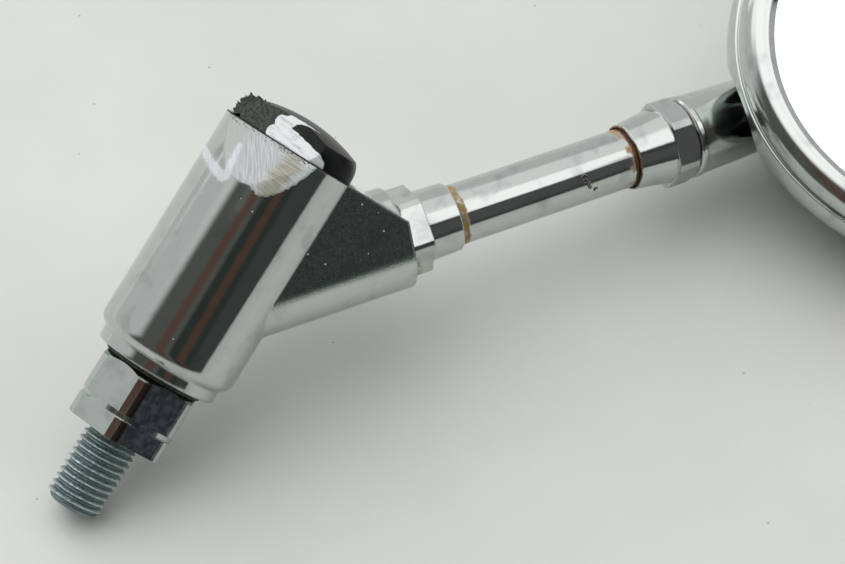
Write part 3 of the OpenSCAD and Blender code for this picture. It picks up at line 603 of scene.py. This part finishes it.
# Fibre sheet: flecked and dry. Foam: open little cells. Nylon: smooth but never quite glossy.
fibre = plain("olive_fibre_washer", "23251a", "45492f", 0.6, 0.45, 0.8, 0.03, 0.0)
foam = plain("closed_cell_foam", "1e1f20", "343637", 0.5, 0.8, 0.95, 0.1, 0.0)
white_nylon = plain("natural_nylon", "d2cfbf", "e6e3d5", 2.0, 0.35, 0.5, 0.004, 0.0)
blue_nylon = plain("blue_nylon", "213e86", "2f52a8", 2.0, 0.35, 0.5, 0.004, 0.0)
# Oiled steel is darker and glossier where the oil lies. Sintered bronze is pressed powder: grainy.
spring_steel = plain("oiled_spring_steel", "5c5d5e", "8d8e8e", 1.5, 0.22, 0.4, 0.01, 1.0)
bronze = plain("sintered_bronze", "7d5a32", "b08450", 0.4, 0.35, 0.55, 0.02, 1.0)
print("plain finishes: 6")

# %% A finish for every CAD node
finishes = {
    zinc: ("pivot_stud", "spring_nut", "socket_ring"),
    fibre: ("friction_washer",),
    cast_chrome: ("pivot_housing",),
    bronze: ("pivot_bush",),
    spring_steel: ("spring_seat", "pivot_spring", "spring_washer", "thrust_cup", "seat_spring"),
    blue_nylon: ("nut_insert",),
    white_nylon: ("rear_ball_seat", "front_ball_seat"),
    black_plastic: ("pivot_cap",),
    turned_chrome: ("lower_lock_nut", "arm_rod", "upper_lock_nut", "ball_stem", "ball_socket")
    + ("mirror_shell", "bezel_ring"),
    foam: ("glass_pad",),
    silvered: ("mirror_glass",),
}
for material, nodes in finishes.items():
    for node in nodes:
        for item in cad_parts[node].material_slots:
            item.material = material
print("finishes on", sum(len(nodes) for nodes in finishes.values()), "CAD nodes")

# %% [markdown]
# ## The mounting thread, grown by rule
#
# An M10 thread has a pitch of 1.25 mm. It follows one rule, so Geometry Nodes builds it: a flat
# grid is rolled into a tube whose rows climb by one pitch per turn, and the distance of each row
# from the axis follows the thread's profile. Because the rows run along the helix, the crests stay
# sharp with few faces. Rows beyond the ends are pressed flat there and merged, which also gives the
# real thread's run-out: a chamfer at the tip, and a narrow relief under the hex.
# The other way, a profile swept along a helix, needs a cleaned-up start and end.

# %% Node group for the thread
STUD_LEN, PITCH = 14.29, 1.25
TREE_INPUTS = {
    "Length": STUD_LEN * MM,
    "Crest radius": 4.97 * MM,
    "Root radius": 4.22 * MM,
    "Relief radius": 4.1 * MM,
    "Relief height": 0.9 * MM,
    "Tip chamfer": 1.2 * MM,
    "Pitch": PITCH * MM,
    "Wear": 0.05 * MM,
}
thread_group = bpy.data.node_groups.new("mounting_thread", "GeometryNodeTree")
thread_group.interface.new_socket("Geometry", in_out="OUTPUT", socket_type="NodeSocketGeometry")
for name, value in TREE_INPUTS.items():
    socket = thread_group.interface.new_socket(name, in_out="INPUT", socket_type="NodeSocketFloat")
    socket.default_value = value
seed = thread_group.interface.new_socket("Seed", in_out="INPUT", socket_type="NodeSocketInt")
seed.default_value = 7
thread_group.interface.new_socket("Material", in_out="INPUT", socket_type="NodeSocketMaterial")
g = thread_group
given = add(g, "NodeGroupInput", out=None).outputs
AROUND, PER_TURN = 72, 16
turns = math.ceil(STUD_LEN / PITCH) + 2
rows = turns * PER_TURN
sizes = {"Size X": 1.0, "Size Y": 1.0, "Vertices X": AROUND + 1, "Vertices Y": rows + 1}
grid = add(g, "GeometryNodeMeshGrid", sizes, out="Mesh")
cell = add(g, "ShaderNodeSeparateXYZ", {0: add(g, "GeometryNodeInputPosition")}, out=None).outputs
share = add(g, MATH, (cell[0], 0.5), "ADD")
angle = add(g, MATH, (share, 2 * math.pi), "MULTIPLY")
row = add(g, MATH, (cell[1], 0.5), "ADD")
row = add(g, MATH, (row, float(turns)), "MULTIPLY")
# Height: one pitch below the tip to start with, plus rows and turn, in pitches
climb = add(g, MATH, (row, share), "ADD")
climb = add(g, MATH, (climb, 1.0), "SUBTRACT")
climb = add(g, MATH, (climb, given["Pitch"]), "MULTIPLY")
above_tip = add(g, "ShaderNodeClamp", (climb, 0.0, given["Length"]))
# Profile: flat root for a quarter of the pitch, flat crest for an eighth, straight flanks between
phase = add(g, MATH, {0: row}, "FRACT")
phase = add(g, MATH, (phase, 0.5), "SUBTRACT")
phase = add(g, MATH, {0: phase}, "ABSOLUTE")
tooth = add(g, RAMP, {"Value": phase, "From Min": 0.375, "From Max": 0.0625})
spot = add(g, "ShaderNodeCombineXYZ", (cell[0], cell[1]))
rubbed = add(g, NOISE, {"Vector": spot, "W": given["Seed"], "Scale": 24.0}, noise_dimensions="4D")
worn_off = add(g, MATH, (rubbed, given["Wear"]), "MULTIPLY")
crest = add(g, MATH, (given["Crest radius"], worn_off), "SUBTRACT")
radius = add(g, RAMP, {"Value": tooth, "To Min": given["Root radius"], "To Max": crest})
tip = add(g, MATH, (given["Crest radius"], given["Tip chamfer"]), "SUBTRACT")
cone = add(g, MATH, (tip, above_tip), "ADD")
radius = add(g, MATH, (radius, cone), "MINIMUM")
below_hex = add(g, MATH, (given["Length"], above_tip), "SUBTRACT")
below_hex = add(g, MATH, (below_hex, given["Relief height"]), "SUBTRACT")
below_hex = add(g, MATH, (below_hex, 0.0), "MAXIMUM")
relief = add(g, MATH, (below_hex, 1.5, given["Relief radius"]), "MULTIPLY_ADD")
radius = add(g, MATH, (radius, relief), "MINIMUM")
place = []
for part in ("COSINE", "SINE"):
    part = add(g, MATH, {0: angle}, part)
    place.append(add(g, MATH, (radius, part), "MULTIPLY"))
place.append(add(g, MATH, (above_tip, given["Length"]), "SUBTRACT"))
place = add(g, "ShaderNodeCombineXYZ", place)
rolled = add(g, "GeometryNodeSetPosition", {"Geometry": grid, "Position": place})
# A disc at either end closes the tube once the points merge.
ends = []
for radius_out, height_of in ((tip, -1.0), (given["Relief radius"], 0.0)):
    disc = {"Vertices": AROUND, "Radius": radius_out}
    disc = add(g, "GeometryNodeMeshCircle", disc, fill_type="NGON")
    drop = add(g, MATH, (given["Length"], height_of), "MULTIPLY")
    offset = add(g, "ShaderNodeCombineXYZ", {2: drop})
    ends.append(add(g, "GeometryNodeSetPosition", {"Geometry": disc, "Offset": offset}))
joined = add(g, "GeometryNodeJoinGeometry", out=None)
for part in (rolled, *ends):
    g.links.new(part, joined.inputs[0])
merged = {"Geometry": joined.outputs[0], "Distance": 0.002 * MM}
merged = add(g, "GeometryNodeMergeByDistance", merged)
real = add(g, "GeometryNodeRealizeInstances", {"Geometry": merged})
painted_mesh = add(g, "GeometryNodeSetMaterial", {"Geometry": real, "Material": given["Material"]})
add(g, "NodeGroupOutput", {"Geometry": painted_mesh}, out=None)
print("thread rows:", rows, "nodes:", len(g.nodes))

# %% Make the thread's mesh, and helpers that every piece goes through


def smooth_by_angle(mesh, degrees):
    """Outward normals, smooth faces, and sharp edges above that angle."""
    shape = bmesh.new()
    shape.from_mesh(mesh)
    bmesh.ops.dissolve_degenerate(shape, dist=1e-7, edges=shape.edges)
    bmesh.ops.recalc_face_normals(shape, faces=shape.faces)
    open_edges = sum(1 for edge in shape.edges if not edge.is_manifold)
    shape.to_mesh(mesh)
    shape.free()
    mesh.polygons.foreach_set("use_smooth", [True] * len(mesh.polygons))
    mesh.set_sharp_from_angle(angle=math.radians(degrees))
    return open_edges


def add_piece(name, mesh, material, body, finish, *replaced):
    """Names a piece, gives it its material, and says what it rides on and stands for."""
    obj = bpy.data.objects.new(name, mesh)
    bpy.context.collection.objects.link(obj)
    mesh.materials.clear()
    mesh.materials.append(material)
    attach(obj, body)
    if replaced:
        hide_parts(*replaced)
    print(name, len(mesh.polygons), "faces")


carrier = bpy.data.objects.new("thread_carrier", bpy.data.meshes.new("thread_carrier"))
bpy.context.collection.objects.link(carrier)
modifier = carrier.modifiers.new("mounting_thread", "NODES")
modifier.node_group = thread_group
values = {**TREE_INPUTS, "Seed": seed.default_value, "Material": zinc}
for item in thread_group.interface.items_tree:
    if item.in_out == "INPUT":
        modifier[item.identifier] = values[item.name]
depsgraph = bpy.context.evaluated_depsgraph_get()
thread_mesh = bpy.data.meshes.new_from_object(carrier.evaluated_get(depsgraph))
thread_mesh.name = "stud_thread"
carrier.modifiers.remove(modifier)
bpy.data.objects.remove(carrier)
print("open edges in the thread:", smooth_by_angle(thread_mesh, 40))
add_piece("stud_thread", thread_mesh, zinc, "mounting_stud", "zinc_steel", "pivot_stud")

# %% [markdown]
# ## The rest of the stud
#
# The hex, its marks and the shank come from a copy of the CAD mesh. In the copy the plain mounting
# cylinder is drawn in to the size of the core, where the new thread hides it.

# %% Copy the stud and narrow its core


def copied(node, name):
    """A merged copy of a CAD node's mesh. The CAD mesh itself stays as it is."""
    shape = bmesh.new()
    shape.from_mesh(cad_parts[node].data)
    bmesh.ops.remove_doubles(shape, verts=shape.verts, dist=1e-6)
    mesh = bpy.data.meshes.new(name)
    shape.to_mesh(mesh)
    shape.free()
    return mesh


CORE_R, CORE_END = 3.9 * MM, -14.2 * MM
stud_mesh = copied("pivot_stud", "turned_stud")
for vertex in stud_mesh.vertices:
    out = math.hypot(vertex.co.x, vertex.co.y)
    if vertex.co.z < 1e-6 and out < 5.001 * MM:
        wanted = min(out, CORE_R)
        vertex.co.x *= wanted / max(out, 1e-9)
        vertex.co.y *= wanted / max(out, 1e-9)
        vertex.co.z = max(vertex.co.z, CORE_END)
smooth_by_angle(stud_mesh, 12)
add_piece("turned_stud", stud_mesh, hex_chrome, "mounting_stud", "zinc_steel", "pivot_stud")

# %% [markdown]
# ## Burrs on the cap
#
# Grinding drew the soft plastic outward into a torn lip, level with the scrape, at the cap's left
# corner. It is a thin tongue in the scrape's plane: its inner edge dips into the cap, its outer
# edge is ragged. The outline follows the torn edge, and a seeded jitter breaks it up further.

# %% Build the torn lip
TORN_EDGE = (
    (-8.75, -0.1), (-9.2, 0.9), (-9.45, 1.8), (-9.6, 2.35), (-9.2, 2.2), (-9.5, 3.2),
    (-9.1, 3.3), (-9.3, 4.05), (-8.9, 4.2), (-8.9, 4.85), (-8.6, 4.95), (-8.0, 4.7),
    (-7.4, 5.0), (-6.5, 5.05), (-5.9, 5.3), (-4.8, 5.0),
)
dice = random.Random(11)
torn_mesh = bpy.data.meshes.new("torn_lip")
origin, normal, level, upward = scrape_plane(*SCRAPES[0])
torn_points, torn_faces = [], []
outline = []
for (u0, v0), (u1, v1) in zip(TORN_EDGE, TORN_EDGE[1:]):
    for k in range(4):
        reach = 0.0 if k == 0 else dice.uniform(-0.5, 0.12)
        out_u, out_v = u0 + (u1 - u0) * k / 4, v0 + (v1 - v0) * k / 4
        far_off = Vector((out_u + 5.5, out_v - 1.5)).normalized()
        outline.append((out_u + reach * far_off.x, out_v + reach * far_off.y))
outline.append(TORN_EDGE[-1])
for out_u, out_v in outline:
    inward = Vector((-5.5 - out_u, 1.8 - out_v)) * 0.6
    lift = dice.uniform(-0.12, 0.04)
    # A section of the tongue: shares of the way in, and heights over the ground plane.
    section = ((0.0, lift), (0.0, lift - 0.3), (1.0, -1.4), (1.0, -0.35), (0.45, 0.03))
    for share, front in section:
        u, v = out_u + inward.x * share, out_v + inward.y * share
        torn_points.append((origin + level * u + upward * v + normal * front) * MM)
count, around = len(outline), len(section)
for i in range(count - 1):
    for k in range(around):
        a, b = i * around + k, i * around + (k + 1) % around
        torn_faces.append((a, b, b + around, a + around))
torn_faces += [tuple(range(around)), tuple(range((count - 1) * around, count * around))]
torn_mesh.from_pydata(torn_points, [], torn_faces)
print("open edges in the torn lip:", smooth_by_angle(torn_mesh, 40))
add_piece("torn_lip", torn_mesh, black_plastic, "arm", "black_plastic")

# %% [markdown]
# ## The head's shell and bezel
#
# The CAD head is an oval drawn with 72 straight steps, which a mirror finish would show as facets.
# Shell and bezel are remade from the same profile with 240 steps round and finer arcs. An oval
# profile stack is easier to control here than a subdivision surface, which would pull the seam and
# the lip out of place. The seam between the two gets tiny rounded lips, as on a rolled edge.

# %% Build the smooth head
HEAD_STEPS, SIDE_STEPS, HOLE_STEPS = 240, 18, 96
# The shell's section: a round side that bulges past the rim, and a domed back behind it.
SIDE_R, BULGE, SIDE_Z, SIDE_END = 10, 0.9, -3, math.radians(74)
BACK_Z = -18
HOLE_GAP = 0.05
NECK_LEAN = math.radians(10)
NECK_R, NECK_REACH = 7.48, 37.8


def stack(ellipses, steps, closed=False):
    """Points and side faces of a stack of (width, height, z) ellipses, open or joined up."""
    turns = [2 * math.pi * i / steps for i in range(steps)]
    points = [(a * math.cos(t), b * math.sin(t), z) for a, b, z in ellipses for t in turns]
    count, faces = len(ellipses), []
    for k in range(count if closed else count - 1):
        low, high = k * steps, ((k + 1) % count) * steps
        for i in range(steps):
            j = (i + 1) % steps
            faces.append((low + i, low + j, high + j, high + i))
    return points, faces


def loft(name, rings, closed):
    """Ovals stacked from (offset, factor, z) rings in the head's frame, capped or joined up."""
    mesh = bpy.data.meshes.new(name)
    ovals = [(factor * (OVAL_A + off), factor * (OVAL_B + off), z) for off, factor, z in rings]
    points, faces = stack(ovals, HEAD_STEPS, closed)
    if not closed:
        top = (len(rings) - 1) * HEAD_STEPS
        for start, z, flip in ((0, rings[0][2], True), (top, rings[-1][2], False)):
            points.append((0, 0, z))
            for i in range(HEAD_STEPS):
                pair = (start + i, start + (i + 1) % HEAD_STEPS)
                faces.append((*(pair[::-1] if flip else pair), len(points) - 1))
    mesh.from_pydata(points, [], faces)
    mesh.transform(Matrix.Scale(MM, 4) @ HEAD)
    print(name, "open edges:", smooth_by_angle(mesh, 32))
    return mesh


def shell_rings(inset, low_z):
    """One side of the shell from its back to its rim, drawn smaller by inset."""
    r = SIDE_R - inset
    middle = BULGE - SIDE_R
    meet_x, meet_z = middle + r * math.cos(SIDE_END), SIDE_Z - r * math.sin(SIDE_END)
    back_z = inset + BACK_Z
    shares = [0.1 * k for k in range(1, 10)]
    rings = [(meet_x, share, back_z + (meet_z - back_z) * share**2) for share in shares]
    top = math.asin((low_z - SIDE_Z) / r)
    for i in range(SIDE_STEPS + 1):
        a = -SIDE_END + i * (SIDE_END + top) / SIDE_STEPS
        rings.append((middle + r * math.cos(a), 1, SIDE_Z + r * math.sin(a)))
    return rings


def arc_rings(off, z, radius, start, stop, steps):
    """Rings of a small arc about that offset and height, between two angles in degrees."""
    angles = [math.radians(start + (stop - start) * i / steps) for i in range(steps + 1)]
    return [(off + radius * math.cos(a), 1, z + radius * math.sin(a)) for a in angles]


def opened(mesh):
    """The shell with the hole for its socket, widened outward by as much as the neck can lean."""
    ball_frame = UPPER_ARM @ move(0, 0, BALL_AT)
    to_ball = ball_frame.inverted() @ Matrix.Scale(1 / MM, 4)
    barrel = [to_ball @ vertex.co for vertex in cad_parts["ball_socket"].data.vertices]
    wide = max(math.hypot(c.x, c.y) for c in barrel) + HOLE_GAP
    back = max(c.z for c in barrel) + HOLE_GAP
    # Leaning both ways at once, the neck reaches further than either limit alone.
    lean = math.acos(math.cos(NECK_LEAN) ** 2)
    room = NECK_R / math.cos(lean)
    mouth = room + NECK_REACH * math.tan(lean)
    outline = ((mouth, -NECK_REACH), (wide, (room - wide) / math.tan(lean)), (wide, back))
    points, sides = stack([(r, r, z) for r, z in outline], HOLE_STEPS)
    ends = [tuple(range(HOLE_STEPS)), tuple(range(2 * HOLE_STEPS, 3 * HOLE_STEPS))]
    cutter_mesh = bpy.data.meshes.new("shell_cutter")
    cutter_mesh.from_pydata(points, [], ends + sides)
    cutter_mesh.transform(Matrix.Scale(MM, 4) @ ball_frame)
    smooth_by_angle(cutter_mesh, 32)
    solid = bpy.data.objects.new("shell_solid", mesh)
    cutter = bpy.data.objects.new("shell_cutter", cutter_mesh)
    for obj in (solid, cutter):
        bpy.context.collection.objects.link(obj)
    cut = solid.modifiers.new("opening", "BOOLEAN")
    cut.operation, cut.solver, cut.object = "DIFFERENCE", "EXACT", cutter
    depsgraph = bpy.context.evaluated_depsgraph_get()
    result = bpy.data.meshes.new_from_object(solid.evaluated_get(depsgraph))
    result.name = "pressed_shell"
    solid.modifiers.remove(cut)
    for obj in (solid, cutter):
        bpy.data.objects.remove(obj)
    print("opening: radius", round(wide, 2), "mm; open edges:", smooth_by_angle(result, 32))
    return result


outside = shell_rings(0, -0.3)
rim_off = outside[-1][0]
rim = arc_rings(rim_off - 0.3, -0.35, 0.3, 10, 90, 5)
inner = shell_rings(2, -4.1)
rebate = [(-2.05, 1, -0.05), (-2.05, 1, -2.1), (-7.1, 1, -2.1), (-7.1, 1, -4.1)]
shell_mesh = opened(loft("solid_shell", outside + rim + rebate + inner[::-1], False))
add_piece("pressed_shell", shell_mesh, turned_chrome, "head", "cast_chrome", "mirror_shell")
bezel_shape = [(-4.6, 1, -2), (-2.1, 1, -2), (-2.1, 1, 0.02), (-0.5, 1, 0.02)]
bezel_shape += arc_rings(-0.25, 0.27, 0.25, -90, 0, 4)
bezel_shape += arc_rings(-3.4, 1.6, 3.4, 0, 90, 20)
bezel_shape += arc_rings(-4.3, 4.65, 0.25, 60, 180, 5)
bezel_shape += [(-5.5, 1, 3.85), (-5.68, 1, 3.7), (-5.7, 1, 3.5), (-4.6, 1, 3.5)]
bezel_mesh = loft("bezel", bezel_shape, True)
add_piece("bezel", bezel_mesh, turned_chrome, "head", "turned_chrome", "bezel_ring")

# %% [markdown]
# ## The table
#
# A pale painted table top, which the mirror touches at its lowest points: the head's rim and the
# hex. It isn't part of the object, so it goes on the stage. Its paint is cloudy, with small specks
# of dirt and soft smudges. It is clear from behind, so that the mirror can be seen from below too.

# %% Make the table
table_normal = Vector((-0.635, -0.577, 0.514)).normalized()
lowest = min(v.co.dot(table_normal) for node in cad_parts.values() for v in node.data.vertices)
side = table_normal.orthogonal().normalized()
other = table_normal.cross(side)
centre = table_normal * (lowest - 0.05 * MM)
HALF_TABLE = 1.5
corners = [
    centre + side * (HALF_TABLE * a) + other * (HALF_TABLE * b)
    for a, b in ((-1, -1), (1, -1), (1, 1), (-1, 1))
]
table_mesh = bpy.data.meshes.new("table_top")
table_mesh.from_pydata(corners, [], [(0, 1, 2, 3)])
table_top = bpy.data.objects.new("table_top", table_mesh)
bpy.context.collection.objects.link(table_top)
table_paint, tree, shader, point = new_material("painted_table")
stains = clouds(tree, point, 60.0, 0.35, 0.75, 4.0)
tone = add(tree, MIX, {0: stains, 6: colour("dadcd7"), 7: colour("e2e4e0")}, **BLEND)
for spacing, radius, share, full, most, dirt in (
    (5.0, 0.33, 0.5, 0.6, 0.5, "6c6a60"),
    (26.0, 1.3, 0.25, 1.0, 0.16, "7d7c72"),
):
    spots = specks(tree, point, spacing, radius, share)
    spots = add(tree, RAMP, {"Value": spots, "From Max": full, "To Max": most})
    tone = add(tree, MIX, {0: spots, 6: tone, 7: colour(dirt)}, **BLEND)
brushing = add(tree, NOISE, {"Vector": point, "Scale": 0.8, "Detail": 3.0})
normal = add(tree, BUMP, {"Height": brushing, "Distance": 0.03 * MM})
dress(tree, shader, tone, 0.0, 0.55, normal)
clear = add(tree, "ShaderNodeBsdfTransparent")
facing = add(tree, "ShaderNodeNewGeometry", out="Backfacing")
either = add(tree, "ShaderNodeMixShader", (facing, shader.outputs[0], clear))
fill(tree, tree.nodes["Material Output"], {"Surface": either})
table_mesh.materials.append(table_paint)
print("table's normal:", [round(c, 3) for c in table_normal])

# %% [markdown]
# ## The room that the chrome reflects
#
# Chrome shows nothing but its surroundings, so the surroundings are made with care: a pale tent
# with bright softboxes to the right, behind and overhead, and toward the camera the dark room with
# two warm-coloured things in it. They are painted on the world by direction: azimuth and elevation
# about the table's normal. On the round body they turn into the dark stripes and the white edges.
# One broad lamp from the upper left lifts the table and casts the soft shadow to the lower right.

# %% Paint the world
world = bpy.data.worlds.new("tent_and_room")
bpy.context.scene.world = world
world.use_nodes = True
sky = world.node_tree
direction = add(sky, "ShaderNodeTexCoord", out="Generated")
toward = (cam_back - table_normal * cam_back.dot(table_normal)).normalized()
sideways = table_normal.cross(toward)
if sideways.dot(cam_right) < 0:
    sideways.negate()
parts = [
    add(sky, VECTOR, (direction, axis), "DOT_PRODUCT", out="Value")
    for axis in (table_normal, toward, sideways)
]
elevation = add(sky, MATH, {0: parts[0]}, "ARCSINE")
azimuth = add(sky, MATH, (parts[2], parts[1]), "ARCTAN2")
elevation, azimuth = (add(sky, MATH, {0: a}, "DEGREES") for a in (elevation, azimuth))


def grey(level, tint=(1, 1, 1)):
    return tuple(level * t for t in tint) + (1.0,)


def panel(under, over, az, el, soft_az, soft_el):
    """Paints one panel over the picture so far: azimuth and elevation ranges with soft edges."""
    across = window(sky, azimuth, az[0], az[1], soft_az)
    upward = window(sky, elevation, el[0], el[1], soft_el)
    mask = add(sky, MATH, (across, upward), "MULTIPLY")
    return add(sky, MIX, {0: mask, 6: under, 7: over}, **BLEND)


tent = panel(grey(0.66), grey(1.0), (-181, 181), (56, 91), 1, 18)
tent = panel(tent, grey(1.0), (112, 181), (42, 68), 6, 8)
tent = panel(tent, grey(1.0), (-181, -150), (36, 68), 6, 8)
tent = panel(tent, grey(1.5), (-146, -96), (46, 72), 10, 8)
tent = panel(tent, grey(1.5), (-165, -118), (14, 48), 6, 6)
tent = panel(tent, grey(1.6), (-181, 181), (69, 91), 1, 7)
room = grey(0.11, (1, 1.04, 0.97))
room = panel(room, grey(0.042, (0.85, 1.08, 0.98)), (7, 181), (-91, 91), 6, 1)
room = panel(room, grey(0.065, (0.88, 1.06, 0.98)), (37, 181), (-91, 91), 3, 1)
room = panel(room, (0.13, 0.075, 0.06, 1), (-25, -10), (1, 69), 5, 3)
room = panel(room, (0.10, 0.06, 0.045, 1), (20, 27), (1, 69), 3, 3)
tent = panel(tent, room, (-64, 30), (-6, 56), 20, 5)
tent = panel(tent, room, (0, 62), (-6, 56), 6, 5)
tent = panel(tent, grey(0.1), (50, 74), (12, 38), 4, 4)
tent = panel(tent, grey(1.5), (67, 110), (47, 68), 5, 4)
# The camera and mirrors see the tent at full strength; on matt surfaces it counts three quarters.
seen = add(sky, "ShaderNodeLightPath", out=None).outputs
shown = seen["Is Camera Ray"]
for ray in ("Is Glossy Ray", "Is Transmission Ray"):
    shown = add(sky, MATH, (shown, seen[ray]), "MAXIMUM")
strength = add(sky, RAMP, {"Value": shown, "To Min": 0.75})
fill(sky, sky.nodes["Background"], {"Color": tent, "Strength": strength})
LAMP_AWAY = 1.6
lamp_data = bpy.data.lights.new("broad_lamp", "AREA")
lamp_data.shape, lamp_data.size = "DISK", 2.2
lamp_data.energy = 11.5
lamp = bpy.data.objects.new("broad_lamp", lamp_data)
bpy.context.collection.objects.link(lamp)
aim = Vector((60, 0, 60)) * MM
from_side = (table_normal * 1.0 - sideways * 0.5 + toward * -0.3).normalized()
facing = from_side.to_track_quat("Z", "Y").to_matrix().to_4x4()
lamp.matrix_world = Matrix.Translation(aim + from_side * LAMP_AWAY) @ facing
# The softboxes are in the painted world already, so mirrors don't show the lamp again.
lamp.visible_glossy = False
bpy.context.scene.view_settings.view_transform = "Standard"
print("world nodes:", len(sky.nodes))
